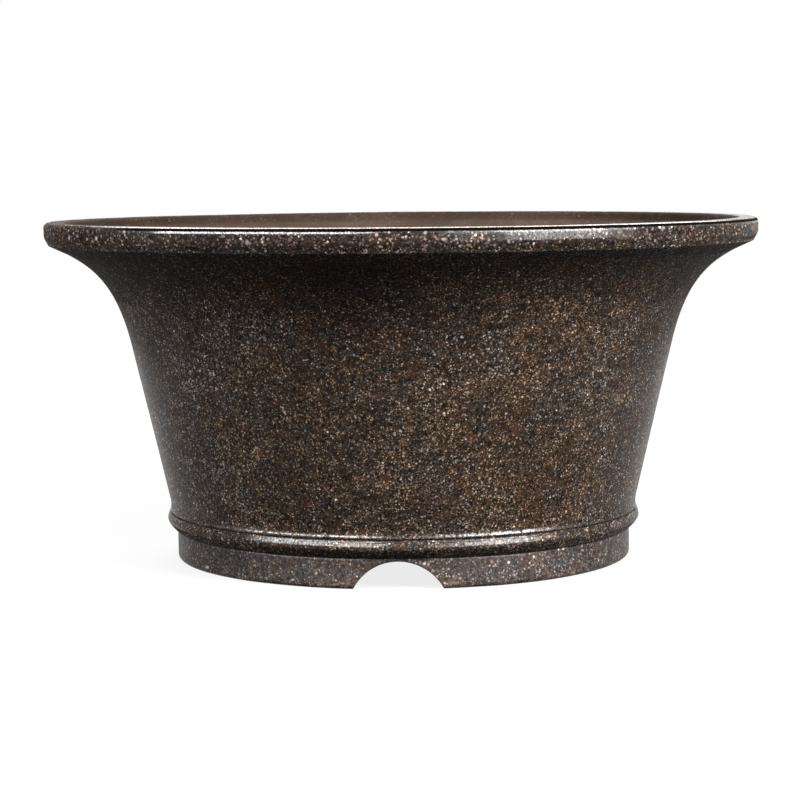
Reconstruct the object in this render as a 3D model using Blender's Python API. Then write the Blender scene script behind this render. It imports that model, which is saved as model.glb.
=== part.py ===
"""Round stoneware flower pot with an outward lip and a foot ring cut by three arches.

Units are metres, +Z is up. The origin is on the pot's axis, at the level it stands on.
The pot is made as its clay members are before they are luted together: a foot ring,
a floor, a flared wall, a bead round the wall's foot and a rim lip. Each is a turned
profile, listed as (radius, height) points and swept once round the axis.
"""
from math import atan, cos, hypot, pi, radians, sin, tan

import bmesh
import bpy

# Overall size
RIM_RADIUS = 0.125
POT_HEIGHT = 0.1188

# Seats between the members, steps round the axis, and the bend that shows as an edge
SEAT_GAP = 0.0003
TURN_STEPS = 72
SHARP_ANGLE = 40.0

# Foot of the pot: the ring and the wall above it stand flush
BASE_RADIUS = 0.0802

# Foot ring and its arches
FOOT_HEIGHT = 0.0101
FOOT_WIDTH = 0.0105
FOOT_EDGE_RADIUS = 0.0015
ARCH_COUNT = 3
ARCH_WIDTH = 0.0298
ARCH_HEIGHT = 0.0092
ARCH_STEPS = 64
FRONT_ANGLE = -90.0

# Floor slab and its drain hole
FLOOR_THICKNESS = 0.0075
DRAIN_RADIUS = 0.015
DRAIN_EDGE_RADIUS = 0.0015

# Wall: a straight cone up to the flare, then a curve out to the lip
WALL_THICKNESS = 0.0068
FLARE_START_RADIUS = 0.0954
FLARE_START_HEIGHT = 0.0758
FLARE_START_REACH = 0.0209
FLARE_END_REACH = 0.0111
FLARE_END_SLOPE = 27.8
COVE_RADIUS = 0.007
COVE_TOE = 0.0006

# Bead round the wall's foot, and the wall's swell out over it
BEAD_DEPTH = 0.0017
BEAD_HEIGHT = 0.0062
BEAD_SHOULDER = 0.0015
BEAD_UNDER_FULLNESS = 0.3
BEAD_FOOT_RISE = 0.2
SWELL_HEIGHT = 0.0052
SWELL_REACH = 0.00115
SWELL_STEPS = 4
CREASE_DEPTH = 0.0006

# Rim lip
LIP_WIDTH = 0.0075
LIP_FACE_DROP = 0.0046
LIP_FACE_INSET = 0.0002
LIP_ARRIS_DROP = 0.0079
LIP_ARRIS_INSET = 0.0015
LIP_ROOT_DROP = 0.01065
LIP_BEVEL_BULGE = 0.0009
LIP_OUTER_EDGE_RADIUS = 0.0018
LIP_INNER_EDGE_RADIUS = 0.0015

# Fired clay
CLAY_COLOUR = (0.075, 0.057, 0.045, 1.0)
LIP_COLOUR = (0.068, 0.056, 0.052, 1.0)
FOOT_COLOUR = (0.098, 0.082, 0.075, 1.0)
CLAY_ROUGHNESS = 0.5

# Sizes that follow from the ones above
MEMBER_BASE = FOOT_HEIGHT + SEAT_GAP
FLOOR_TOP = MEMBER_BASE + FLOOR_THICKNESS
BEAD_TOP = MEMBER_BASE + BEAD_HEIGHT
LIP_ROOT_RADIUS = RIM_RADIUS - LIP_WIDTH
WALL_TAPER = (FLARE_START_RADIUS - BASE_RADIUS) / (FLARE_START_HEIGHT - MEMBER_BASE)
WALL_LEVEL_THICKNESS = WALL_THICKNESS * hypot(1.0, WALL_TAPER)
LEVEL_GAP = SEAT_GAP * hypot(1.0, WALL_TAPER)


def clear_scene():
    """Empty the scene that the file opens with."""
    for item in list(bpy.data.objects):
        bpy.data.objects.remove(item, do_unlink=True)


def clay(name, colour):
    """Unglazed fired clay of one colour."""
    material = bpy.data.materials.new(name)
    material.use_nodes = True
    shader = material.node_tree.nodes["Principled BSDF"]
    shader.inputs["Base Color"].default_value = colour
    shader.inputs["Roughness"].default_value = CLAY_ROUGHNESS
    shader.inputs["Metallic"].default_value = 0.0
    return material


def arc(centre, radius_across, radius_up, start, end, steps):
    """Points along an elliptical arc; angles in degrees from the outward level line."""
    turn = (end - start) / steps
    angles = [radians(start + turn * index) for index in range(steps + 1)]
    return [(centre[0] + radius_across * cos(a), centre[1] + radius_up * sin(a)) for a in angles]


def bezier(start, start_handle, end_handle, end, steps):
    """Points along a cubic curve, both ends included."""
    points = []
    for index in range(steps + 1):
        t = index / steps
        s = 1.0 - t
        shares = (s * s * s, 3.0 * s * s * t, 3.0 * s * t * t, t * t * t)
        corners = (start, start_handle, end_handle, end)
        points.append(tuple(sum(k * c[axis] for k, c in zip(shares, corners)) for axis in (0, 1)))
    return points


def offset_inward(points, distance):
    """The same line moved towards the axis, square to itself at each point."""
    moved = []
    for index, (radius, height) in enumerate(points):
        before = points[max(index - 1, 0)]
        after = points[min(index + 1, len(points) - 1)]
        run, rise = after[0] - before[0], after[1] - before[1]
        length = hypot(run, rise)
        moved.append((radius - distance * rise / length, height + distance * run / length))
    return moved


def wall_radius(height):
    """Outer radius of the wall's straight part at a height."""
    return BASE_RADIUS + (height - MEMBER_BASE) * WALL_TAPER


def swell_edge():
    """The wall's swell over the bead, from the wall down to its lower edge and back in to the wall."""
    low = BEAD_TOP + SEAT_GAP
    points = []
    for index in range(SWELL_STEPS + 1):
        share = index / SWELL_STEPS
        height = low + SWELL_HEIGHT * (1.0 - share)
        points.append((wall_radius(height) + SWELL_REACH * share * share, height))
    points.append((wall_radius(low), low))
    return points


def turned(name, outline, material):
    """Spin a closed outline once round the axis, and keep its corners sharp."""
    work = bmesh.new()
    corners = [work.verts.new((radius, 0.0, height)) for radius, height in outline]
    sides = [work.edges.new((corners[index - 1], corners[index])) for index in range(len(corners))]
    bmesh.ops.spin(
        work, geom=corners + sides, cent=(0.0, 0.0, 0.0), axis=(0.0, 0.0, 1.0),
        angle=2.0 * pi, steps=TURN_STEPS, use_merge=True)
    bmesh.ops.recalc_face_normals(work, faces=work.faces)
    mesh = bpy.data.meshes.new(name)
    work.to_mesh(mesh)
    work.free()
    mesh.shade_smooth()
    mesh.set_sharp_from_angle(angle=radians(SHARP_ANGLE))
    mesh.materials.append(material)
    item = bpy.data.objects.new(name, mesh)
    bpy.context.scene.collection.objects.link(item)
    return item


def rim_lip():
    """The strip round the mouth: rounded top, upright face, bevel and sloping underside."""
    arris = (RIM_RADIUS - LIP_ARRIS_INSET, POT_HEIGHT - LIP_ARRIS_DROP)
    face_foot = (RIM_RADIUS - LIP_FACE_INSET, POT_HEIGHT - LIP_FACE_DROP)
    face_pull = (face_foot[0], face_foot[1] - LIP_BEVEL_BULGE)
    arris_pull = (arris[0] + LIP_BEVEL_BULGE / 2.0, arris[1] + LIP_BEVEL_BULGE)
    root = (LIP_ROOT_RADIUS, POT_HEIGHT - LIP_ROOT_DROP)
    outer_centre = (RIM_RADIUS - LIP_OUTER_EDGE_RADIUS, POT_HEIGHT - LIP_OUTER_EDGE_RADIUS)
    inner_centre = (LIP_ROOT_RADIUS + LIP_INNER_EDGE_RADIUS, POT_HEIGHT - LIP_INNER_EDGE_RADIUS)
    outline = arc(outer_centre, LIP_OUTER_EDGE_RADIUS, LIP_OUTER_EDGE_RADIUS, 90.0, 0.0, 4)
    outline += bezier(face_foot, face_pull, arris_pull, arris, 3)
    outline.append(root)
    outline += arc(inner_centre, LIP_INNER_EDGE_RADIUS, LIP_INNER_EDGE_RADIUS, 180.0, 90.0, 3)
    return turned("rim_lip", outline, clay("clay_lip", LIP_COLOUR))


def body_wall():
    """The flared wall, of one thickness, with a cove where it meets the floor."""
    end_radius = LIP_ROOT_RADIUS - SEAT_GAP
    slope = radians(FLARE_END_SLOPE)
    base = (BASE_RADIUS, MEMBER_BASE)
    start = (FLARE_START_RADIUS, FLARE_START_HEIGHT)
    end = (end_radius, POT_HEIGHT - LIP_ROOT_DROP - SEAT_GAP * tan(slope))
    lean = atan(WALL_TAPER)
    start_pull = (start[0] + FLARE_START_REACH * sin(lean), start[1] + FLARE_START_REACH * cos(lean))
    end_pull = (end[0] - FLARE_END_REACH * cos(slope), end[1] - FLARE_END_REACH * sin(slope))
    outer = [base] + bezier(start, start_pull, end_pull, end, 12)
    inner = offset_inward(outer, WALL_THICKNESS)
    flare_top = (end_radius, inner[-1][1] + (end_radius - inner[-1][0]) * tan(slope))
    toe_height = FLOOR_TOP + SEAT_GAP + COVE_TOE
    cove_height = toe_height + COVE_RADIUS
    cove_outer = wall_radius(cove_height) - WALL_LEVEL_THICKNESS
    cove_centre = (cove_outer - COVE_RADIUS, cove_height)
    slab_side = wall_radius(FLOOR_TOP + SEAT_GAP) - WALL_LEVEL_THICKNESS
    base_side = BASE_RADIUS - WALL_LEVEL_THICKNESS
    outline = [flare_top] + outer[:0:-1] + swell_edge()
    outline += [base, (base_side, MEMBER_BASE), (slab_side, FLOOR_TOP + SEAT_GAP)]
    outline.append((cove_centre[0], FLOOR_TOP + SEAT_GAP))
    outline += arc(cove_centre, COVE_RADIUS, COVE_RADIUS, -90.0, 0.0, 5)
    outline += inner[1:]
    return turned("body_wall", outline, clay("clay_wall", CLAY_COLOUR))


def waist_bead():
    """The rounded string of clay that hides the seam at the wall's foot."""
    top = (wall_radius(BEAD_TOP) + LEVEL_GAP, BEAD_TOP)
    crest_radius = wall_radius(BEAD_TOP) + SWELL_REACH - CREASE_DEPTH
    widest = (top[0] + BEAD_DEPTH, BEAD_TOP - BEAD_SHOULDER)
    foot = (BASE_RADIUS + LEVEL_GAP, MEMBER_BASE)
    fall = widest[1] - foot[1]
    widest_pull = (widest[0], widest[1] - BEAD_UNDER_FULLNESS * fall)
    foot_pull = (foot[0] + BEAD_UNDER_FULLNESS * fall, foot[1] + BEAD_FOOT_RISE * fall)
    outline = [top]
    outline += arc((crest_radius, widest[1]), widest[0] - crest_radius, BEAD_SHOULDER, 90.0, 0.0, 5)
    outline += bezier(widest, widest_pull, foot_pull, foot, 6)[1:]
    return turned("waist_bead", outline, clay("clay_bead", CLAY_COLOUR))


def floor_slab():
    """The floor: a disc let into the wall's foot, with a round drain hole."""
    foot_edge = BASE_RADIUS - WALL_LEVEL_THICKNESS - LEVEL_GAP
    top_edge = wall_radius(FLOOR_TOP) - WALL_LEVEL_THICKNESS - LEVEL_GAP
    hole_centre = DRAIN_RADIUS + DRAIN_EDGE_RADIUS
    low_centre = (hole_centre, MEMBER_BASE + DRAIN_EDGE_RADIUS)
    high_centre = (hole_centre, FLOOR_TOP - DRAIN_EDGE_RADIUS)
    outline = [(top_edge, FLOOR_TOP), (foot_edge, MEMBER_BASE)]
    outline += arc(low_centre, DRAIN_EDGE_RADIUS, DRAIN_EDGE_RADIUS, 270.0, 180.0, 3)
    outline += arc(high_centre, DRAIN_EDGE_RADIUS, DRAIN_EDGE_RADIUS, 180.0, 90.0, 3)
    return turned("floor_slab", outline, clay("clay_floor", CLAY_COLOUR))


def arch_cutter(index):
    """A lying round bar that cuts one arch through the foot ring, square to the axis."""
    radius = (ARCH_WIDTH * ARCH_WIDTH / 4.0 + ARCH_HEIGHT * ARCH_HEIGHT) / (2.0 * ARCH_HEIGHT)
    angle = radians(FRONT_ANGLE + index * 360.0 / ARCH_COUNT)
    reach = BASE_RADIUS - FOOT_WIDTH / 2.0
    place = (reach * cos(angle), reach * sin(angle), ARCH_HEIGHT - radius)
    bpy.ops.mesh.primitive_cylinder_add(
        vertices=ARCH_STEPS, radius=radius, depth=2.0 * FOOT_WIDTH,
        location=place, rotation=(0.0, pi / 2.0, angle))
    cutter = bpy.context.active_object
    cutter.name = f"arch_cutter_{index + 1}"
    cutter.hide_render = True
    cutter.display_type = "WIRE"
    return cutter


def foot_ring():
    """The ring that the pot stands on, cut by arches so that water can run out."""
    inner_radius = BASE_RADIUS - FOOT_WIDTH
    outer_centre = (BASE_RADIUS - FOOT_EDGE_RADIUS, FOOT_EDGE_RADIUS)
    inner_centre = (inner_radius + FOOT_EDGE_RADIUS, FOOT_EDGE_RADIUS)
    outline = [(BASE_RADIUS, FOOT_HEIGHT)]
    outline += arc(outer_centre, FOOT_EDGE_RADIUS, FOOT_EDGE_RADIUS, 0.0, -90.0, 4)
    outline += arc(inner_centre, FOOT_EDGE_RADIUS, FOOT_EDGE_RADIUS, 270.0, 180.0, 4)
    outline.append((inner_radius, FOOT_HEIGHT))
    ring = turned("foot_ring", outline, clay("clay_foot", FOOT_COLOUR))
    for index in range(ARCH_COUNT):
        cut = ring.modifiers.new(f"Arch {index + 1}", "BOOLEAN")
        cut.operation = "DIFFERENCE"
        cut.solver = "EXACT"
        cut.object = arch_cutter(index)
    return ring


def main():
    clear_scene()
    rim_lip()
    body_wall()
    waist_bead()
    floor_slab()
    foot_ring()


main()
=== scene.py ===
"""Looks of the round stoneware flower pot: fine clay surfaces, speckled finish, soft studio light.

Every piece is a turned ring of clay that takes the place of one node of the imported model.
Lengths are metres, +Z is up, and the photographed front of the pot faces -Y.
"""

from math import atan, cos, hypot, pi, radians, sin, sqrt, tan

import bpy
import numpy as np
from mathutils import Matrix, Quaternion, Vector, noise

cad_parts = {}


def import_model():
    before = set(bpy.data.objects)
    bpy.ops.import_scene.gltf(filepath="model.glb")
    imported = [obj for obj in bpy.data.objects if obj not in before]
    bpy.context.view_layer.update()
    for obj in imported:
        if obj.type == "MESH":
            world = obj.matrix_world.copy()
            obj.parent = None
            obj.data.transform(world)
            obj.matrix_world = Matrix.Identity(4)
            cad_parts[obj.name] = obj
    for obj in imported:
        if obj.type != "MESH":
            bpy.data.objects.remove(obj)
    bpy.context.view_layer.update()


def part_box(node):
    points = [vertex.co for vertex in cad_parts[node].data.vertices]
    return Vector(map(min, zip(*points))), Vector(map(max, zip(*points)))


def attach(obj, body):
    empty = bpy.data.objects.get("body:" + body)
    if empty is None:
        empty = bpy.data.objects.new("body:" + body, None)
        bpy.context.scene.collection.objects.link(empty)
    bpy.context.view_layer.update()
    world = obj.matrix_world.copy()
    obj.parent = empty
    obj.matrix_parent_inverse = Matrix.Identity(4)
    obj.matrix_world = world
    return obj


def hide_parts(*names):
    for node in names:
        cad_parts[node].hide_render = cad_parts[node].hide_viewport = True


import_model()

# Sizes read from the frame
RIM_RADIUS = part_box("rim_lip")[1][0]
POT_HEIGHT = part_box("rim_lip")[1][2]
MEMBER_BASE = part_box("body_wall")[0][2]
BASE_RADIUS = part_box("foot_ring")[1][0]
BEAD_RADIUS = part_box("waist_bead")[1][0]
BEAD_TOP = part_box("waist_bead")[1][2]
FLOOR_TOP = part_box("floor_slab")[1][2]

# Sizes repeated from the model's source
WALL_THICKNESS = 0.0068
FLARE_START_RADIUS = 0.0954
FLARE_START_HEIGHT = 0.0758
FLARE_START_REACH = 0.0209
FLARE_END_REACH = 0.0111
FLARE_END_SLOPE = radians(27.8)
COVE_RADIUS = 0.007
COVE_TOE = 0.0006
LIP_WIDTH = 0.0075
LIP_FACE_DROP = 0.0046
LIP_ARRIS_DROP = 0.0079
LIP_ARRIS_INSET = 0.0015
LIP_ROOT_DROP = 0.01065
LIP_BEVEL_BULGE = 0.0009
LIP_OUTER_EDGE = 0.0018
LIP_INNER_EDGE = 0.0015
BEAD_UNDER_FULLNESS = 0.3
BEAD_FOOT_RISE = 0.2
SWELL_HEIGHT = 0.0052
SWELL_REACH = 0.00115
FOOT_WIDTH = 0.0105
FOOT_EDGE = 0.0015
ARCH_WIDTH = 0.0298
ARCH_HEIGHT = 0.0092
ARCH_ANGLES = [radians(angle) for angle in (-90.0, 30.0, 150.0)]
DRAIN_RADIUS = 0.015
DRAIN_EDGE = 0.0015

# Finer forms of the fired clay: seams that run into each other, worn edges, a more upright face on the lip
# and a deeper crease over the bead than in the source
LUTE = 0.0004
LIP_FACE_INSET = 0.00005
LIP_INNER_DROP = 0.0032
ARRIS_EDGE = 0.0004
STEP_FILLET = 0.0011
COVE_CLEARANCE = 0.0005
SWELL_EDGE = 0.0006
SWELL_POWER = 2.6
CREASE_WIDTH = 0.0005
CREASE_DEPTH = 0.0008
CREASE_ROOF_PULL = 0.0002
BEAD_FACE = 0.0024
BEAD_FACE_LEAN = 0.0005
BEAD_EDGE = 0.0005
ARCH_EDGE = 0.0007
ARCH_CORNER = 0.0007

# Pulls of the curves, as shares of the lengths beside them
BEVEL_TOP_PULL = 0.08
BEVEL_FOOT_PULL = 0.45
BEVEL_END_PULL = 0.4
CORNER_PULL = 0.3
BEAD_FACE_PULL = 0.6

# Steps of the fine meshes
TURNS = 384
ARCH_TURNS = 96
FLARE_STEPS = 40
SWELL_STEPS = 18
FOOT_STEPS = 9

# How far the close steps reach past an arch, how much of the foot's height an edge may take,
# how near two points are the same, and the shortest length that is divided by
ARCH_REACH = 1.35
EDGE_SHARE = 0.45
CLOSE = 1e-6
SHORTEST = 1e-12

WALL_TAPER = (FLARE_START_RADIUS - BASE_RADIUS) / (FLARE_START_HEIGHT - MEMBER_BASE)
LEVEL_THICKNESS = WALL_THICKNESS * hypot(1.0, WALL_TAPER)
LIP_ROOT_RADIUS = RIM_RADIUS - LIP_WIDTH


# Outlines, as (radius, height) points

def arc(centre, across, up, start, end, steps):
    """Points along an elliptical arc, angles in degrees from the outward level line."""
    turns = [radians(start + (end - start) * index / steps) for index in range(steps + 1)]
    return [(centre[0] + across * cos(a), centre[1] + up * sin(a)) for a in turns]


def bezier(start, start_pull, end_pull, end, steps):
    """Points along a cubic curve, both ends included."""
    t = np.linspace(0.0, 1.0, steps + 1)[:, None]
    s = 1.0 - t
    corners = [np.array(corner) for corner in (start, start_pull, end_pull, end)]
    curve = s**3 * corners[0] + 3 * s * s * t * corners[1] + 3 * s * t * t * corners[2] + t**3 * corners[3]
    return [tuple(point) for point in curve]


def line(start, end, spacing):
    """Points along a straight run, both ends included."""
    steps = max(1, round(hypot(end[0] - start[0], end[1] - start[1]) / spacing))
    share = np.linspace(0.0, 1.0, steps + 1)[:, None]
    return [tuple(point) for point in np.array(start) * (1.0 - share) + np.array(end) * share]


def joined(*runs):
    """One outline from runs that may share their end points."""
    outline = []
    for run in runs:
        for point in run:
            if not outline or hypot(point[0] - outline[-1][0], point[1] - outline[-1][1]) > CLOSE:
                outline.append(point)
    if hypot(outline[0][0] - outline[-1][0], outline[0][1] - outline[-1][1]) < CLOSE:
        outline.pop()
    return outline


def offset_inward(points, distance):
    """The same line moved towards the axis, square to itself at each point."""
    line_points = np.array(points)
    along = np.gradient(line_points, axis=0)
    along /= np.linalg.norm(along, axis=1)[:, None]
    return [tuple(p) for p in line_points + distance * np.stack([-along[:, 1], along[:, 0]], axis=1)]


def wall_radius(height):
    """Outer radius of the wall's straight part at a height."""
    return BASE_RADIUS + (height - MEMBER_BASE) * WALL_TAPER


def lip_outline():
    """Rounded top, upright face, bevel, crisp arris and sloping underside."""
    arris = (RIM_RADIUS - LIP_ARRIS_INSET, POT_HEIGHT - LIP_ARRIS_DROP)
    root = (LIP_ROOT_RADIUS - LUTE, POT_HEIGHT - LIP_ROOT_DROP - LUTE * tan(FLARE_END_SLOPE))
    slope = atan((arris[1] - root[1]) / (arris[0] - root[0]))
    face_top = (RIM_RADIUS, POT_HEIGHT - LIP_OUTER_EDGE)
    face_foot = (RIM_RADIUS - LIP_FACE_INSET, POT_HEIGHT - LIP_FACE_DROP)
    bevel_end = (arris[0] + ARRIS_EDGE * BEVEL_END_PULL, arris[1] + ARRIS_EDGE)
    under_start = (arris[0] - ARRIS_EDGE * cos(slope), arris[1] - ARRIS_EDGE * sin(slope))
    bevel_pulls = ((face_foot[0] - LIP_BEVEL_BULGE * BEVEL_TOP_PULL, face_foot[1] - LIP_BEVEL_BULGE),
                   (bevel_end[0] + LIP_BEVEL_BULGE * BEVEL_FOOT_PULL, bevel_end[1] + LIP_BEVEL_BULGE))
    inner_foot = (LIP_ROOT_RADIUS, POT_HEIGHT - LIP_INNER_DROP)
    return joined(
        arc((RIM_RADIUS - LIP_OUTER_EDGE, POT_HEIGHT - LIP_OUTER_EDGE),
            LIP_OUTER_EDGE, LIP_OUTER_EDGE, 90.0, 0.0, 10),
        line(face_top, face_foot, 0.0006),
        bezier(face_foot, *bevel_pulls, bevel_end, 8),
        bezier(bevel_end, arris, arris, under_start, 4),
        line(under_start, root, 0.0008),
        line(root, (LIP_ROOT_RADIUS - LUTE, inner_foot[1] - LUTE), 0.0012),
        line(inner_foot, (LIP_ROOT_RADIUS, POT_HEIGHT - LIP_INNER_EDGE), 0.0005),
        arc((LIP_ROOT_RADIUS + LIP_INNER_EDGE, POT_HEIGHT - LIP_INNER_EDGE),
            LIP_INNER_EDGE, LIP_INNER_EDGE, 180.0, 90.0, 8),
        line((LIP_ROOT_RADIUS + LIP_INNER_EDGE, POT_HEIGHT),
             (RIM_RADIUS - LIP_OUTER_EDGE, POT_HEIGHT), 0.0008))


def flare():
    """The curve of the wall's outer side from its straight part up to the lip."""
    start = (FLARE_START_RADIUS, FLARE_START_HEIGHT)
    end = (LIP_ROOT_RADIUS, POT_HEIGHT - LIP_ROOT_DROP)
    lean = atan(WALL_TAPER)
    start_pull = (start[0] + FLARE_START_REACH * sin(lean), start[1] + FLARE_START_REACH * cos(lean))
    end_pull = (end[0] - FLARE_END_REACH * cos(FLARE_END_SLOPE),
                end[1] - FLARE_END_REACH * sin(FLARE_END_SLOPE))
    return bezier(start, start_pull, end_pull, end, FLARE_STEPS)


def wall_outer():
    """The wall's outer side from its foot up to the lip, with the crease and the swell over the bead."""
    crease = BEAD_TOP + CREASE_WIDTH / 2.0
    swell_top = crease + SWELL_HEIGHT
    heights = np.linspace(crease + SWELL_EDGE, swell_top, SWELL_STEPS)
    swell = [(wall_radius(height) + SWELL_REACH * ((swell_top - height) / SWELL_HEIGHT) ** SWELL_POWER,
              height) for height in heights]
    edge = swell[0]
    groove = (wall_radius(crease) + SWELL_REACH - CREASE_DEPTH, crease - CREASE_WIDTH / 2.0)
    groove_foot = (wall_radius(groove[1]), groove[1])
    return joined(
        line((BASE_RADIUS, MEMBER_BASE), groove_foot, 0.0012),
        line(groove_foot, groove, 0.0003),
        bezier(groove, (edge[0] - CREASE_ROOF_PULL, crease),
               (edge[0], crease + SWELL_EDGE * CORNER_PULL), edge, 8),
        swell,
        line(swell[-1], (FLARE_START_RADIUS, FLARE_START_HEIGHT), 0.0012),
        flare())


def plain_outer():
    """The wall's outer side without the crease and the swell."""
    straight = line((BASE_RADIUS, MEMBER_BASE), (FLARE_START_RADIUS, FLARE_START_HEIGHT), 0.0012)
    return joined(straight, flare())


def wall_outline():
    """The flared wall with its cove over the floor, running down the outer side first."""
    outer = wall_outer()
    inner = offset_inward(plain_outer(), WALL_THICKNESS)
    flare_top = (LIP_ROOT_RADIUS, inner[-1][1] + (LIP_ROOT_RADIUS - inner[-1][0]) * tan(FLARE_END_SLOPE))
    cove_height = FLOOR_TOP + COVE_TOE + COVE_RADIUS
    cove_side = wall_radius(cove_height) - LEVEL_THICKNESS
    cove_centre = (cove_side - COVE_RADIUS, cove_height)
    kept = [(radius, height) for radius, height in inner
            if height > cove_height + COVE_CLEARANCE and radius < flare_top[0] - STEP_FILLET]
    step = (flare_top[0] - LUTE / 8.0, flare_top[1] + STEP_FILLET)
    base_side = BASE_RADIUS - LEVEL_THICKNESS
    return joined(
        line((flare_top[0] + LUTE, flare_top[1]), outer[-1], 0.0012),
        outer[::-1],
        line((BASE_RADIUS, MEMBER_BASE), (base_side, MEMBER_BASE), 0.002),
        line((base_side, MEMBER_BASE), (cove_side, FLOOR_TOP - LUTE), 0.002),
        line((cove_side, FLOOR_TOP - LUTE), (cove_centre[0], FLOOR_TOP - LUTE), 0.002),
        arc(cove_centre, COVE_RADIUS, COVE_RADIUS + COVE_TOE, -90.0, 0.0, 12),
        kept,
        bezier(kept[-1], flare_top, flare_top, step, 8),
        [(flare_top[0] + LUTE, step[1])])


def bead_outline():
    """A rounded string of clay pressed on to the wall's foot."""
    widest = BEAD_TOP - BEAD_FACE
    crest = (wall_radius(BEAD_TOP) + SWELL_REACH - CREASE_DEPTH, BEAD_TOP)
    foot = (BASE_RADIUS + LUTE, MEMBER_BASE)
    drop = widest - foot[1]
    edge = (BEAD_RADIUS - BEAD_FACE_LEAN, BEAD_TOP - BEAD_EDGE)
    corner_pull = BEAD_EDGE * CORNER_PULL
    back_top = (wall_radius(BEAD_TOP) - LUTE, BEAD_TOP - LUTE)
    return joined(
        bezier(crest, (edge[0] - corner_pull, BEAD_TOP), (edge[0], BEAD_TOP - corner_pull), edge, 8),
        bezier(edge, (edge[0] + BEAD_FACE_LEAN * BEAD_FACE_PULL, edge[1] - BEAD_EDGE),
               (BEAD_RADIUS, widest + BEAD_EDGE), (BEAD_RADIUS, widest), 12),
        bezier((BEAD_RADIUS, widest), (BEAD_RADIUS, widest - drop * BEAD_UNDER_FULLNESS),
               (foot[0] + drop * BEAD_UNDER_FULLNESS, foot[1] + drop * BEAD_FOOT_RISE), foot, 16),
        line((BASE_RADIUS - LUTE, foot[1]), back_top, 0.001),
        line(back_top, crest, 0.0004))


def floor_outline():
    """The floor slab, with soft edges round the drain hole."""
    low_side = BASE_RADIUS - LEVEL_THICKNESS - LUTE
    high_side = wall_radius(FLOOR_TOP) - LEVEL_THICKNESS - LUTE
    centre = DRAIN_RADIUS + DRAIN_EDGE
    return joined(
        line((high_side, FLOOR_TOP), (low_side, MEMBER_BASE), 0.002),
        line((low_side, MEMBER_BASE), (centre, MEMBER_BASE), 0.0015),
        arc((centre, MEMBER_BASE + DRAIN_EDGE), DRAIN_EDGE, DRAIN_EDGE, 270.0, 180.0, 6),
        arc((centre, FLOOR_TOP - DRAIN_EDGE), DRAIN_EDGE, DRAIN_EDGE, 180.0, 90.0, 6),
        line((centre, FLOOR_TOP), (high_side, FLOOR_TOP), 0.0015))


def arch_height(radius, angle):
    """How high the foot's underside stands at a place on the ring: nothing away from the arches."""
    arch_radius = (ARCH_WIDTH**2 / 4.0 + ARCH_HEIGHT**2) / (2.0 * ARCH_HEIGHT)
    best = 0.0
    for centre in ARCH_ANGLES:
        if cos(angle - centre) > 0.0:
            aside = radius * sin(angle - centre)
            if abs(aside) < arch_radius:
                level = sqrt(arch_radius**2 - aside**2) - arch_radius + ARCH_HEIGHT
                best = max(best, (level + sqrt(level**2 + ARCH_CORNER**2)) / 2.0)
    return max(0.0, best - ARCH_CORNER / 2.0 * max(0.0, 1.0 - best / ARCH_CORNER))


def foot_outline(angle):
    """The foot ring's section at one place; its underside follows the arches."""
    inner_radius = BASE_RADIUS - FOOT_WIDTH
    top = MEMBER_BASE + LUTE / 2.0
    outer_foot = arch_height(BASE_RADIUS, angle)
    inner_foot = arch_height(inner_radius, angle)
    outer_edge = min(FOOT_EDGE if outer_foot == 0.0 else ARCH_EDGE, (top - outer_foot) * EDGE_SHARE)
    inner_edge = min(FOOT_EDGE if inner_foot == 0.0 else ARCH_EDGE, (top - inner_foot) * EDGE_SHARE)
    outer_centre = (BASE_RADIUS - outer_edge, outer_foot + outer_edge)
    inner_centre = (inner_radius + inner_edge, inner_foot + inner_edge)
    outer_side = [(BASE_RADIUS, height) for height in np.linspace(top, outer_centre[1], FOOT_STEPS)]
    inner_side = [(inner_radius, height) for height in np.linspace(inner_centre[1], top, FOOT_STEPS)]
    outer_turn = arc(outer_centre, outer_edge, outer_edge, 0.0, -90.0, 6)
    inner_turn = arc(inner_centre, inner_edge, inner_edge, 270.0, 180.0, 6)
    radii = np.linspace(outer_centre[0], inner_centre[0], FOOT_STEPS + 1)[1:-1]
    under = [(radius, arch_height(radius, angle)) for radius in radii]
    return outer_side + outer_turn[1:] + under + inner_turn + inner_side[1:]


# Meshes

# The hand-finished surface: bumps per metre with how far they stand out, the fall-off, gap and number of
# their octaves, and the marks of the turning
BUMPS = [(22.0, 0.00009), (110.0, 0.00003)]
BUMP_OCTAVES = (1.0, 2.0, 2)
TURNING_ACROSS, TURNING_UP, TURNING_HEIGHT = 6.0, 420.0, 0.000018


def even_angles():
    """Steps all the way round the pot."""
    return np.linspace(0.0, 2.0 * pi, TURNS, endpoint=False)


def foot_angles():
    """Steps round the foot, closer together at the arches."""
    half = ARCH_REACH * (ARCH_WIDTH / 2.0) / (BASE_RADIUS - FOOT_WIDTH)
    angles = []
    for index, centre in enumerate(ARCH_ANGLES):
        following = ARCH_ANGLES[(index + 1) % len(ARCH_ANGLES)]
        if following < centre:
            following += 2.0 * pi
        angles += list(np.linspace(centre - half, centre + half, ARCH_TURNS, endpoint=False))
        angles += list(np.linspace(centre + half, following - half, TURNS // 4, endpoint=False))
    return np.array(angles)


def relief(place):
    """How far the hand-finished surface stands off its true shape, in metres."""
    stand = sum(noise.fractal(place * scale, *BUMP_OCTAVES) * height for scale, height in BUMPS)
    turned_place = Vector((hypot(place.x, place.y) * TURNING_ACROSS, 0.0, place.z * TURNING_UP))
    return stand + noise.noise(turned_place) * TURNING_HEIGHT


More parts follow.
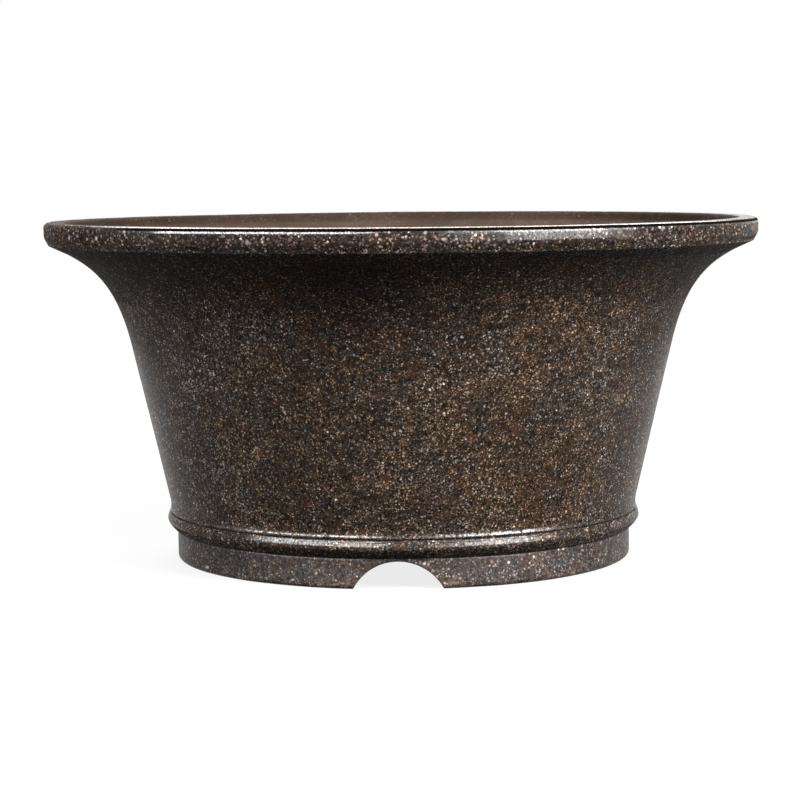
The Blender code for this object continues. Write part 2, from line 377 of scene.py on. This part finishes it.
def ring(name, outline_at, angles):
    """A closed ring whose section at each angle is given; every section has as many points."""
    sections = np.array([outline_at(angle) for angle in angles])
    turns, points = sections.shape[:2]
    radius, height = sections[:, :, 0], sections[:, :, 1]
    across = np.cos(angles)[:, None]
    along = np.sin(angles)[:, None]
    places = np.stack([radius * across, radius * along, height], axis=2)
    down = np.roll(places, -1, axis=1) - np.roll(places, 1, axis=1)
    round_about = np.roll(places, -1, axis=0) - np.roll(places, 1, axis=0)
    outward = np.cross(down, round_about)
    outward /= np.maximum(np.linalg.norm(outward, axis=2), SHORTEST)[:, :, None]
    flat = places.reshape(-1, 3)
    stand = np.array([relief(Vector(place)) for place in flat])
    stand[flat[:, 2] < CLOSE] = 0.0
    flat = flat + outward.reshape(-1, 3) * stand[:, None]
    index = np.arange(turns * points).reshape(turns, points)
    after = np.roll(index, -1, axis=0)
    faces = np.stack([index, np.roll(index, -1, axis=1), np.roll(after, -1, axis=1), after], axis=2)
    mesh = bpy.data.meshes.new(name)
    mesh.from_pydata(flat.tolist(), [], faces.reshape(-1, 4).tolist())
    mesh.shade_smooth()
    mesh.validate()
    piece = bpy.data.objects.new(name, mesh)
    bpy.context.scene.collection.objects.link(piece)
    return piece


def turned(name, outline):
    """A ring with the same section all round."""
    return ring(name, lambda angle: outline, even_angles())


# Materials

class Nodes:
    """Short calls for building a material's nodes."""

    def __init__(self, name):
        self.material = bpy.data.materials.new(name)
        self.material.use_nodes = True
        self.tree = self.material.node_tree
        self.shader = self.tree.nodes["Principled BSDF"]
        self.output = self.tree.nodes["Material Output"]

    def link(self, source, target):
        self.tree.links.new(source, target)

    def put(self, socket, value):
        if isinstance(value, bpy.types.NodeSocket):
            self.link(value, socket)
        else:
            socket.default_value = value

    def place(self):
        return self.tree.nodes.new("ShaderNodeTexCoord").outputs["Object"]

    def apart(self, vector):
        node = self.tree.nodes.new("ShaderNodeSeparateXYZ")
        self.link(vector, node.inputs[0])
        return node.outputs[0], node.outputs[1], node.outputs[2]

    def slant(self):
        """0 where a surface is seen square on, 1 where it is seen edge on."""
        return self.tree.nodes.new("ShaderNodeLayerWeight").outputs["Facing"]

    def scaled(self, vector, scale):
        node = self.tree.nodes.new("ShaderNodeMapping")
        self.link(vector, node.inputs["Vector"])
        node.inputs["Scale"].default_value = scale
        return node.outputs["Vector"]

    def noise(self, vector, scale, detail, rough):
        node = self.tree.nodes.new("ShaderNodeTexNoise")
        self.link(vector, node.inputs["Vector"])
        node.inputs["Scale"].default_value = scale
        node.inputs["Detail"].default_value = detail
        node.inputs["Roughness"].default_value = rough
        return node.outputs["Fac"]

    def cells(self, vector, scale):
        """The distance to the nearest cell's middle, and three numbers that each cell picks for itself."""
        node = self.tree.nodes.new("ShaderNodeTexVoronoi")
        self.link(vector, node.inputs["Vector"])
        node.inputs["Scale"].default_value = scale
        split = self.tree.nodes.new("ShaderNodeSeparateColor")
        self.link(node.outputs["Color"], split.inputs["Color"])
        return node.outputs["Distance"], split.outputs

    def shaken(self, vector, scale, reach):
        """The place moved a little by noise, so that grains aren't round."""
        node = self.tree.nodes.new("ShaderNodeTexNoise")
        self.link(vector, node.inputs["Vector"])
        node.inputs["Scale"].default_value = scale
        node.inputs["Detail"].default_value = 1.0
        move = self.tree.nodes.new("ShaderNodeVectorMath")
        move.operation = "MULTIPLY_ADD"
        self.link(node.outputs["Color"], move.inputs[0])
        move.inputs[1].default_value = (reach, reach, reach)
        self.link(vector, move.inputs[2])
        return move.outputs[0]

    def scale_colour(self, colour, factor):
        node = self.tree.nodes.new("ShaderNodeVectorMath")
        node.operation = "SCALE"
        self.link(colour, node.inputs[0])
        self.put(node.inputs["Scale"], factor)
        return node.outputs[0]

    def math(self, operation, first, second=0.0, third=None):
        node = self.tree.nodes.new("ShaderNodeMath")
        node.operation = operation
        self.put(node.inputs[0], first)
        self.put(node.inputs[1], second)
        if third is not None:
            self.put(node.inputs[2], third)
        return node.outputs[0]

    def times(self, first, second):
        return self.math("MULTIPLY", first, second)

    def span(self, value, low, high, new_low=0.0, new_high=1.0, smooth=False):
        """The value's way from low to high, carried over to the way from new_low to new_high."""
        node = self.tree.nodes.new("ShaderNodeMapRange")
        node.interpolation_type = "SMOOTHSTEP" if smooth else "LINEAR"
        node.clamp = True
        for socket, number in zip(node.inputs[:5], (value, low, high, new_low, new_high)):
            self.put(socket, number)
        return node.outputs[0]

    def climb(self, height, stops):
        """A value that follows (height, value) stops up the piece, level beyond them."""
        total = stops[0][1]
        for (low, before), (high, after) in zip(stops, stops[1:]):
            total = self.math("ADD", total, self.span(height, low, high, 0.0, after - before, smooth=True))
        return total

    def mix(self, share, first, second):
        node = self.tree.nodes.new("ShaderNodeMix")
        node.data_type = "RGBA"
        self.put(node.inputs["Factor"], share)
        self.put(node.inputs[6], first)
        self.put(node.inputs[7], second)
        return node.outputs[2]

    def ramp(self, value, stops):
        node = self.tree.nodes.new("ShaderNodeValToRGB")
        self.link(value, node.inputs["Fac"])
        bar = node.color_ramp
        while len(bar.elements) < len(stops):
            bar.elements.new(0.5)
        for element, (position, colour) in zip(bar.elements, stops):
            element.position = position
            element.color = colour
        return node.outputs["Color"]

    def bump(self, height, strength, distance):
        node = self.tree.nodes.new("ShaderNodeBump")
        node.inputs["Strength"].default_value = strength
        node.inputs["Distance"].default_value = distance
        self.link(height, node.inputs["Height"])
        return node.outputs["Normal"]


# Grain colours, from rusty to pale, where the clay fired golden and where it fired grey
GOLDEN = [
    (0.0, (0.15, 0.065, 0.035, 1.0)),
    (0.25, (0.35, 0.22, 0.115, 1.0)),
    (0.55, (0.57, 0.43, 0.255, 1.0)),
    (0.8, (0.50, 0.38, 0.31, 1.0)),
    (1.0, (0.92, 0.80, 0.66, 1.0)),
]
GREYED = [
    (0.0, (0.14, 0.095, 0.075, 1.0)),
    (0.3, (0.28, 0.21, 0.18, 1.0)),
    (0.6, (0.44, 0.35, 0.32, 1.0)),
    (0.85, (0.46, 0.42, 0.40, 1.0)),
    (1.0, (0.92, 0.86, 0.78, 1.0)),
]
RUST = (0.075, 0.034, 0.020, 1.0)
OLIVE = (0.060, 0.044, 0.029, 1.0)

# One size of grain a line: cells per metre, smallest and largest radius as a share of a cell, dimmest, skew
GRAIN_SIZES = [
    (1900.0, 0.28, 0.66, 0.02, 2.2),
    (1150.0, 0.16, 0.54, 0.03, 1.9),
    (560.0, 0.08, 0.31, 0.06, 1.5),
]
GRAIN_SHAKE = (1500.0, 0.0005)

# Patterns of the clay: patches per metre, detail and roughness of each noise
CLOUDS = (26.0, 4.0, 0.62)
BROAD_HUES = (38.0, 3.0, 0.6)
FINE_HUES = (170.0, 2.0, 0.5)
BROWNS = (75.0, 3.0, 0.6)
STAINS = (330.0, 2.0, 0.5)
CLUMPS = (210.0, 3.0, 0.6)
MOTTLE = (900.0, 3.0, 0.75)
PITS = (1300.0, 2.0, 0.5)
THROWING = (420.0, 2.0, 0.5)
WIPES = (90.0, 5.0, 0.7)
BLOTCH_DETAIL = (4.0, 0.65)
GLINT_DETAIL = (1.0, 0.5)

# How the patterns are drawn out: round the pot, or level
ROUND_THE_POT = (0.06, 0.06, 1.0)
LEVEL_PATCHES = (1.0, 1.0, 2.0)
LEVEL_CLUMPS = (1.0, 1.0, 1.3)

# How the two patterns of hues add up, and how much of the painted haze at both sides of the front falls at
# the right side,
# to the hues and to the patches: greyer there, as a painted haze
BROAD_SHARE, FINE_SHARE = 0.6, 0.4
PAINTED_RIGHT_SHARE = 0.7
PAINTED_HAZE_HUES = 0.2
PAINTED_HAZE_PATCHES = 0.1

# How much of a worn skin is left, how far grains stand above pits, how strong the relief is,
# and how wide the haze spreads
WORN_SHARE = 0.1
GRAIN_STAND = 0.5
RELIEF_STRENGTH = 0.6
HAZE_ROUGHNESS = 0.4

# Places on the pot where the clay changes, and where painted haze, painted shade and a painted dark
# reflection lie
# The painted haze and shade at both sides of the front: where each ends towards the middle and where it is
# full
PAINTED_SIDES_LEFT = (-0.09, -0.02)
PAINTED_SIDES_RIGHT = (0.05, 0.1)
# Painted shade on the inside: where it starts and where it is full, either side of the middle
PAINTED_SHADE_SIDES = (0.05, 0.11)
VEIL_LOW, VEIL_HIGH = FLARE_START_HEIGHT - 0.015, FLARE_START_HEIGHT + 0.015
# The painted dark reflection just under the crest: its lower and upper height, and its blur
PAINTED_BAND_LOW, PAINTED_BAND_HIGH, PAINTED_BAND_BLUR = POT_HEIGHT - 0.00115, POT_HEIGHT - 0.0003, 0.00015
CREST_START = RIM_RADIUS - LIP_OUTER_EDGE - 0.0001
CREST_END = RIM_RADIUS - LIP_OUTER_EDGE + 0.0002
ARRIS_HEIGHT = POT_HEIGHT - LIP_ARRIS_DROP
INNER_STEP = POT_HEIGHT - LIP_INNER_DROP


class Stoneware(Nodes):
    """Unglazed clay: a mottled dark body packed with fine golden and pale grains.

    Each clay below says what differs from these values. Colours are linear, and lengths are metres.
    """

    dark = light = cool = None   # the body's darkest spots, where it fired brown and where it fired grey
    patches = 130.0              # brown and grey patches per metre
    painted_sides_share = 1.0                 # how strongly both sides of the front are painted: greyer as a painted haze, darker as a painted shade
    painted_side_shade = 0.0                  # painted shade: how much darker the clay is painted there
    greyness = 0.0               # more grey grains above 0, more golden ones below
    fineness = 1.0               # cells of grains, as a multiple of those of GRAIN_SIZES
    fill = 1.0                   # radii of the grains, as a multiple
    strength = 1.0               # brightness of the dullest grains, as a multiple
    dim = 1.0                    # fewer bright grains above 1, more below
    grit = 0.00012               # how far the grains and pits stand out
    rough = 0.62
    level = 0.015                # the bare clay's own shine
    haze = 0.0                   # share of a pale sheen on the bare clay
    dust_and_shade_film = None                  # a dusty film with painted shade: the colour below a height and the one above another
    gloss = None                 # the burnished skin's share, as (height, share) stops
    gloss_roughness = 0.2
    skin_range = (0.1, 1.8)      # the least and the most of the skin, as a multiple of its share
    glints = 2000.0              # patches of more and less skin per metre
    worn = None                  # places across the front between which the skin is worn off to the left
    veil = 0.3                   # how much skin shows where the lower wall is seen edge on

    def __init__(self, name):
        super().__init__(name)
        self.spot = self.place()
        self.across, self.along, self.height = self.apart(self.spot)
        self.clouds = self.noise(self.spot, *CLOUDS)
        self.mottle = self.noise(self.spot, *MOTTLE)
        self.blotches = self.noise(self.scaled(self.spot, LEVEL_PATCHES), self.patches, *BLOTCH_DETAIL)
        # Painted haze and shade: a mask over both sides of the front, weaker at the right, that greys the
        # hues and patches there and darkens the clay
        self.painted_sides = self.math("ADD", self.span(self.across, *PAINTED_SIDES_LEFT, self.painted_sides_share, 0.0, smooth=True),
                              self.span(self.across, *PAINTED_SIDES_RIGHT, 0.0, PAINTED_RIGHT_SHARE * self.painted_sides_share,
                                        smooth=True))
        hue = self.math("ADD", self.times(self.noise(self.spot, *BROAD_HUES), BROAD_SHARE),
                        self.times(self.noise(self.spot, *FINE_HUES), FINE_SHARE))
        self.hue = self.math("MULTIPLY_ADD", self.painted_sides, PAINTED_HAZE_HUES, hue)
        self.grey = self.span(self.hue, 0.42 - self.greyness, 0.58 - self.greyness)
        self.kept = 1.0
        if self.worn is not None:
            self.kept = self.span(self.across, *self.worn, WORN_SHARE, 1.0, smooth=True)
        colour, grain = self.grains(self.body())
        # painted shade: the clay darker at both sides of the front
        if self.painted_side_shade:
            colour = self.scale_colour(colour, self.math("MULTIPLY_ADD", self.painted_sides, -self.painted_side_shade, 1.0))
        if self.dust_and_shade_film is not None:
            colour = self.mix(self.span(self.blotches, 0.3, 0.7, 0.96, 0.76), colour, self.dust_and_shade())
        self.link(self.marked(colour), self.shader.inputs["Base Color"])
        self.bare(grain)
        if self.gloss is not None:
            self.burnish()

    def body(self):
        """The colour of the clay between its grains."""
        browns = self.span(self.noise(self.spot, *BROWNS), 0.42, 0.58, 0.0, 0.8)
        # more grey patches at both sides of the front: painted haze
        greys = self.span(self.math("MULTIPLY_ADD", self.painted_sides, PAINTED_HAZE_PATCHES, self.blotches), 0.49, 0.61)
        ground = self.mix(greys, self.mix(browns, self.light, OLIVE), self.cool)
        colour = self.mix(self.span(self.mottle, 0.43, 0.66), self.dark, ground)
        stains = self.span(self.noise(self.spot, *STAINS), 0.54, 0.68, 0.0, 0.75)
        rust = self.times(stains, self.span(self.grey, 0.0, 1.0, 1.0, 0.3))
        return self.mix(rust, colour, RUST)

    def grains(self, colour):
        """The colour with grains of each size strewn over it, and how far they stand out."""
        shaken = self.shaken(self.spot, *GRAIN_SHAKE)
        crowd = self.span(self.clouds, 0.32, 0.68, 0.75 * self.fill, 1.15 * self.fill)
        clumps = self.noise(self.scaled(self.spot, LEVEL_CLUMPS), *CLUMPS)
        clump = self.span(clumps, 0.33, 0.67, 0.5, 1.7)
        stand = 0.0
        for scale, smallest, largest, dimmest, skew in GRAIN_SIZES:
            distance, pick = self.cells(shaken, scale * self.fineness)
            radius = self.times(self.span(pick[0], 0.0, 1.0, smallest, largest), crowd)
            mask = self.span(distance, radius, self.times(radius, 0.5), 0.0, 1.0)
            bright = self.math("POWER", pick[1], skew * self.dim)
            bright = self.times(self.span(bright, 0.0, 1.0, dimmest * self.strength, 1.0), clump)
            tint = self.mix(self.grey, self.ramp(pick[2], GOLDEN), self.ramp(pick[2], GREYED))
            colour = self.mix(mask, colour, self.scale_colour(tint, bright))
            stand = self.math("MAXIMUM", self.times(mask, bright), stand)
        return colour, stand

    def dust_and_shade(self):
        """The colour of the dusty film, clouded, wiped, marked by throwing, and darker at both sides as
        painted shade.
        """
        (low, low_colour), (high, high_colour) = self.dust_and_shade_film
        dust_and_shade = self.mix(self.span(self.height, low, high, smooth=True), low_colour, high_colour)
        dust_and_shade = self.mix(self.span(self.hue, 0.42, 0.58, 0.0, 0.35), dust_and_shade, RUST)
        throwing = self.noise(self.scaled(self.spot, ROUND_THE_POT), *THROWING)
        wipes = self.noise(self.scaled(self.spot, LEVEL_PATCHES), *WIPES)
        for shade in (self.span(self.clouds, 0.36, 0.64, 0.8, 1.18),
                      self.span(throwing, 0.35, 0.65, 0.93, 1.07),
                      self.span(wipes, 0.36, 0.64, 0.88, 1.12),
                      # painted shade: darker at both sides
                      self.span(self.math("ABSOLUTE", self.across), *PAINTED_SHADE_SIDES, 1.0, 0.68, smooth=True)):
            dust_and_shade = self.scale_colour(dust_and_shade, shade)
        return dust_and_shade

    def marked(self, colour):
        """The colour with what this clay alone has on it."""
        return colour

    def bare(self, grain):
        """Relief, roughness and faint shine of the bare clay."""
        stand = self.math("ADD", self.noise(self.spot, *PITS), self.times(grain, GRAIN_STAND))
        self.link(self.bump(stand, RELIEF_STRENGTH, self.grit), self.shader.inputs["Normal"])
        rough = self.span(self.mottle, 0.3, 0.7, self.rough - 0.04, self.rough + 0.05)
        self.link(rough, self.shader.inputs["Roughness"])
        self.shader.inputs["Specular IOR Level"].default_value = self.level
        self.shader.inputs["Sheen Weight"].default_value = self.haze
        self.shader.inputs["Sheen Roughness"].default_value = HAZE_ROUGHNESS

    def burnish(self):
        """The burnished skin, as a coat on the clay."""
        glints = self.span(self.noise(self.spot, self.glints, *GLINT_DETAIL), 0.36, 0.64, *self.skin_range)
        skin = self.times(self.climb(self.height, self.gloss), glints)
        self.link(self.shown(skin, self.slant()), self.shader.inputs["Coat Weight"])
        self.shader.inputs["Coat Roughness"].default_value = self.gloss_roughness

    def shown(self, skin, slant):
        """The skin, weaker where it is seen edge on, and the veil over the lower wall."""
        skin = self.times(skin, self.times(self.kept, self.span(slant, 0.22, 0.5, 1.0, 0.15)))
        veil = self.span(self.height, VEIL_LOW, VEIL_HIGH, self.veil, 0.0, smooth=True)
        return self.math("ADD", skin, self.span(slant, 0.35, 0.85, 0.0, veil))


class BrownClay(Stoneware):
    """The clay of the body, with golden grains."""
    dark = (0.003, 0.002, 0.0014, 1.0)
    light = (0.074, 0.038, 0.023, 1.0)
    cool = (0.046, 0.042, 0.041, 1.0)
    greyness = -0.06
    haze = 0.04
    glints = 1100.0


class WallClay(BrownClay):
    """The wall's outer side, burnished on the swell over the bead."""
    gloss = [(BEAD_TOP + 0.0006, 1.0), (BEAD_TOP + 0.45 * SWELL_HEIGHT, 0.0)]


class UnderClay(BrownClay):
    """Undersides, left rough."""
    rough = 0.9


class BeadClay(BrownClay):
    """The bead, burnished on its upper half."""
    strength = 2.8
    fineness = 0.85
    gloss = [(MEMBER_BASE + 0.0015, 0.0), (MEMBER_BASE + 0.0035, 0.35)]
    gloss_roughness = 0.15
    skin_range = (0.4, 1.5)
    worn = (-0.052, -0.038)


class LipClay(Stoneware):
    """The lip, burnished most on its upper edge, with a painted dark reflection: a dark band just under the
    crest.
    """
    dark = (0.004, 0.002, 0.0015, 1.0)
    light = (0.068, 0.034, 0.024, 1.0)
    cool = (0.034, 0.033, 0.039, 1.0)
    painted_sides_share = 0.0
    greyness = 0.04
    fineness = 0.65
    strength = 1.75
    level = 0.004
    gloss = [(ARRIS_HEIGHT + 0.003, 0.18), (ARRIS_HEIGHT + 0.005, 0.27),
             (ARRIS_HEIGHT + 0.006, 0.28), (ARRIS_HEIGHT + 0.0065, 0.75)]
    gloss_roughness = 0.12
    skin_range = (0.45, 1.5)
    worn = (-0.101, -0.083)

    def marked(self, colour):
        """The colour with a painted dark reflection: a dark band just under the crest, where the rounded
        edge faces up, fading out at the left end.
        """
        painted_band = self.times(self.span(self.height, PAINTED_BAND_LOW, PAINTED_BAND_LOW + PAINTED_BAND_BLUR),
                          self.span(self.height, PAINTED_BAND_HIGH, PAINTED_BAND_HIGH + PAINTED_BAND_BLUR, 1.0, 0.0))
        self.painted_band = self.times(painted_band, self.kept)
        return self.mix(self.painted_band, colour, self.dark)

    def shown(self, skin, slant):
        """No skin on the painted dark band, and on the flat crest only where that is seen edge on."""
        skin = self.times(skin, self.math("SUBTRACT", 1.0, self.painted_band))
        reach = self.math("SQRT", self.math("ADD", self.math("POWER", self.across, 2.0),
                                            self.math("POWER", self.along, 2.0)))
        flat = self.times(self.span(reach, CREST_START, CREST_END, 0.97, 0.0),
                          self.span(slant, 0.86, 0.94, 1.0, 0.0))
        skin = self.times(skin, self.math("SUBTRACT", 1.0, flat))
        return self.times(skin, self.kept)


class InsideClay(Stoneware):
    """The inside, under an even dusty film that is paler below the lip and darker above the inner step, the
    darker part painted shade on the lip's inner face.
    """
    dark = (0.045, 0.034, 0.026, 1.0)
    light = (0.11, 0.085, 0.062, 1.0)
    cool = (0.08, 0.07, 0.06, 1.0)
    grit = 0.00008
    rough = 0.75
    # painted shade: the film darker on the lip's inner face, above the inner step
    dust_and_shade_film = [(INNER_STEP - 0.001, (0.090, 0.065, 0.050, 1.0)),
            (INNER_STEP + 0.0004, (0.046, 0.034, 0.026, 1.0))]


class FootClay(Stoneware):
    """The foot, paler and drier, with painted shade darkening it at both sides of the front."""
    dark = (0.018, 0.013, 0.011, 1.0)
    light = (0.215, 0.146, 0.126, 1.0)
    cool = (0.098, 0.107, 0.122, 1.0)
    patches = 80.0
    painted_side_shade = 0.5
    greyness = 0.03
    fineness = 0.68
    fill = 0.92
    strength = 3.0
    dim = 0.6
    rough = 0.5
    gloss = [(0.0, 0.14)]
    gloss_roughness = 0.4


WALL_CLAY = WallClay("stoneware_wall").material
UNDER_CLAY = UnderClay("stoneware_under").material
BEAD_CLAY = BeadClay("stoneware_bead").material
LIP_CLAY = LipClay("stoneware_lip").material
INSIDE_CLAY = InsideClay("stoneware_inside").material
FOOT_CLAY = FootClay("stoneware_foot").material


# Pieces

# How far a face has to be turned to get the inside's clay, on the wall and in the cove, or the underside's
INWARD_TURN = -0.3
COVE_TURN = 0.5
UNDER_TURN = -0.45


def finish(piece, node, materials, pick=None):
    """Dress a piece and let it stand for its node. pick gives each face's material."""
    for material in materials:
        piece.data.materials.append(material)
    if pick is not None:
        centres = np.empty(len(piece.data.polygons) * 3)
        piece.data.polygons.foreach_get("center", centres)
        normals = np.empty(len(piece.data.polygons) * 3)
        piece.data.polygons.foreach_get("normal", normals)
        picked = pick(centres.reshape(-1, 3), normals.reshape(-1, 3))
        piece.data.polygons.foreach_set("material_index", picked.astype(np.int32))
    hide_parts(node)
    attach(piece, "root")


def facing(centres, normals):
    """Which clay a face gets: 1 towards the pot's axis, 2 down from under the lip, 0 elsewhere."""
    outward = centres[:, 0] * normals[:, 0] + centres[:, 1] * normals[:, 1]
    away = outward / np.hypot(centres[:, 0], centres[:, 1])
    cove = (normals[:, 2] > COVE_TURN) & (centres[:, 2] < FLOOR_TOP + COVE_TOE + COVE_RADIUS)
    return np.where((away < INWARD_TURN) | cove, 1, np.where(normals[:, 2] < UNDER_TURN, 2, 0))


finish(turned("pot_rim_lip", lip_outline()), "rim_lip",
       [LIP_CLAY, INSIDE_CLAY, UNDER_CLAY], facing)
finish(turned("pot_body_wall", wall_outline()), "body_wall",
       [WALL_CLAY, INSIDE_CLAY, UNDER_CLAY], facing)
finish(turned("pot_waist_bead", bead_outline()), "waist_bead",
       [BEAD_CLAY, BEAD_CLAY, UNDER_CLAY], facing)
finish(turned("pot_floor", floor_outline()), "floor_slab", [INSIDE_CLAY])
finish(ring("pot_foot_ring", foot_outline, foot_angles()), "foot_ring", [FOOT_CLAY])


# Floor, light and camera

FLOOR_RADIUS = 4.0
FLOOR_SIDES = 64
FLOOR_NEAR, FLOOR_FAR = 0.25, 0.9
FLOOR_PALE = 0.82
FLOOR_OWN_LIGHT = 0.82
FLOOR_BOUNCE = 0.035
WORLD_FILL = 0.009


def neutral(value):
    """A colour without a hue."""
    return (value, value, value, 1.0)


def seen_rays(tree):
    """1 for camera, glossy and transmission rays."""
    path = tree.nodes.new("ShaderNodeLightPath")
    total = path.outputs["Is Camera Ray"]
    for name in ("Is Glossy Ray", "Is Transmission Ray"):
        add = tree.nodes.new("ShaderNodeMath")
        add.operation = "MAXIMUM"
        tree.links.new(total, add.inputs[0])
        tree.links.new(path.outputs[name], add.inputs[1])
        total = add.outputs[0]
    return total


def mixed(nodes, share, first, second):
    """Two shaders mixed by a share."""
    node = nodes.tree.nodes.new("ShaderNodeMixShader")
    nodes.put(node.inputs[0], share)
    nodes.link(first.outputs[0], node.inputs[1])
    nodes.link(second.outputs[0], node.inputs[2])
    return node


def floor():
    """A pale floor that keeps the pot's shadow and fades to white away from it."""
    mesh = bpy.data.meshes.new("floor")
    angles = np.linspace(0.0, 2.0 * pi, FLOOR_SIDES, endpoint=False)
    corners = [(FLOOR_RADIUS * cos(a), FLOOR_RADIUS * sin(a), 0.0) for a in angles]
    mesh.from_pydata(corners, [], [list(range(FLOOR_SIDES))])
    item = bpy.data.objects.new("floor", mesh)
    bpy.context.scene.collection.objects.link(item)
    nodes = Nodes("floor_pale")
    tree = nodes.tree
    nodes.shader.inputs["Base Color"].default_value = neutral(FLOOR_PALE)
    nodes.shader.inputs["Roughness"].default_value = 0.9
    nodes.shader.inputs["Specular IOR Level"].default_value = 0.0
    length = tree.nodes.new("ShaderNodeVectorMath")
    length.operation = "LENGTH"
    nodes.link(nodes.place(), length.inputs[0])
    share = nodes.span(length.outputs["Value"], FLOOR_NEAR, FLOOR_FAR, FLOOR_OWN_LIGHT, 1.0, smooth=True)
    white = tree.nodes.new("ShaderNodeEmission")
    white.inputs["Color"].default_value = neutral(1.0)
    white.inputs["Strength"].default_value = 1.0
    bounce = tree.nodes.new("ShaderNodeBsdfDiffuse")
    bounce.inputs["Color"].default_value = neutral(FLOOR_BOUNCE)
    seen = mixed(nodes, share, nodes.shader, white)
    pick = mixed(nodes, seen_rays(tree), bounce, seen)
    nodes.link(pick.outputs[0], nodes.output.inputs["Surface"])
    mesh.materials.append(nodes.material)


def world():
    """White where it is seen, and a weak even light on the pot."""
    sky = bpy.data.worlds.new("studio")
    bpy.context.scene.world = sky
    sky.use_nodes = True
    tree = sky.node_tree
    background = tree.nodes["Background"]
    background.inputs["Color"].default_value = neutral(1.0)
    strength = tree.nodes.new("ShaderNodeMapRange")
    strength.inputs["To Min"].default_value = WORLD_FILL
    strength.inputs["To Max"].default_value = 1.0
    tree.links.new(seen_rays(tree), strength.inputs["Value"])
    tree.links.new(strength.outputs[0], background.inputs["Strength"])


SOFTBOX_DISTANCE = 1.3
SOFTBOX_AIM = Vector((0.0, 0.0, 0.06))


def softbox(name, azimuth, elevation, width, height, power, mirrored=False, matte=True):
    """A soft light that faces the pot. Azimuth 0 is the camera's side, positive to the right."""
    light = bpy.data.lights.new(name, "AREA")
    light.shape = "RECTANGLE"
    light.size = width
    light.size_y = height
    light.energy = power
    item = bpy.data.objects.new(name, light)
    item.visible_glossy = mirrored
    item.visible_diffuse = matte
    bpy.context.scene.collection.objects.link(item)
    a, e = radians(azimuth), radians(elevation)
    item.location = Vector((sin(a) * cos(e), -cos(a) * cos(e), sin(e))) * SOFTBOX_DISTANCE + SOFTBOX_AIM
    item.rotation_euler = (SOFTBOX_AIM - item.location).to_track_quat("-Z", "Y").to_euler()


CAMERA_DISTANCE, CAMERA_HEIGHT, CAMERA_AZIMUTH = 0.8687, 0.1382, radians(1.38)
CAMERA_PITCH, CAMERA_ROLL, CAMERA_YAW = radians(5.509), radians(0.526), radians(-0.057)
FOCAL_PIXELS, FRAME_PIXELS, SENSOR = 2453.5, 800.0, 36.0


def camera():
    """The photograph's viewpoint, from a fit of the pot's outline."""
    data = bpy.data.cameras.new("camera")
    data.sensor_width = SENSOR
    data.lens = FOCAL_PIXELS / FRAME_PIXELS * SENSOR
    item = bpy.data.objects.new("camera", data)
    bpy.context.scene.collection.objects.link(item)
    aside, back = CAMERA_DISTANCE * sin(CAMERA_AZIMUTH), CAMERA_DISTANCE * cos(CAMERA_AZIMUTH)
    item.location = (aside, -back, CAMERA_HEIGHT)
    heading = CAMERA_YAW - CAMERA_AZIMUTH
    level = cos(CAMERA_PITCH)
    forward = Vector((sin(heading) * level, cos(heading) * level, -sin(CAMERA_PITCH)))
    turn = forward.to_track_quat("-Z", "Y")
    turn.rotate(Quaternion(forward, CAMERA_ROLL))
    item.rotation_euler = turn.to_euler()
    bpy.context.scene.camera = item


floor()
world()
softbox("softbox_left", -58.0, 28.0, 0.5, 0.5, 11.5)
softbox("softbox_right", 52.0, 28.0, 0.5, 0.5, 23.0)
softbox("softbox_front", 10.0, 50.0, 1.1, 0.7, 11.0)
softbox("softbox_back", 180.0, 35.0, 1.0, 0.6, 20.0, mirrored=True)
softbox("sheen_left", -44.0, 21.0, 1.75, 0.7, 112.0, mirrored=True, matte=False)
softbox("sheen_right", 48.0, 15.0, 0.8, 0.78, 42.0, mirrored=True, matte=False)
softbox("sheen_right_wide", 46.0, 15.0, 1.5, 0.78, 40.0, mirrored=True, matte=False)
camera()
bpy.context.scene.view_settings.view_transform = "Standard"
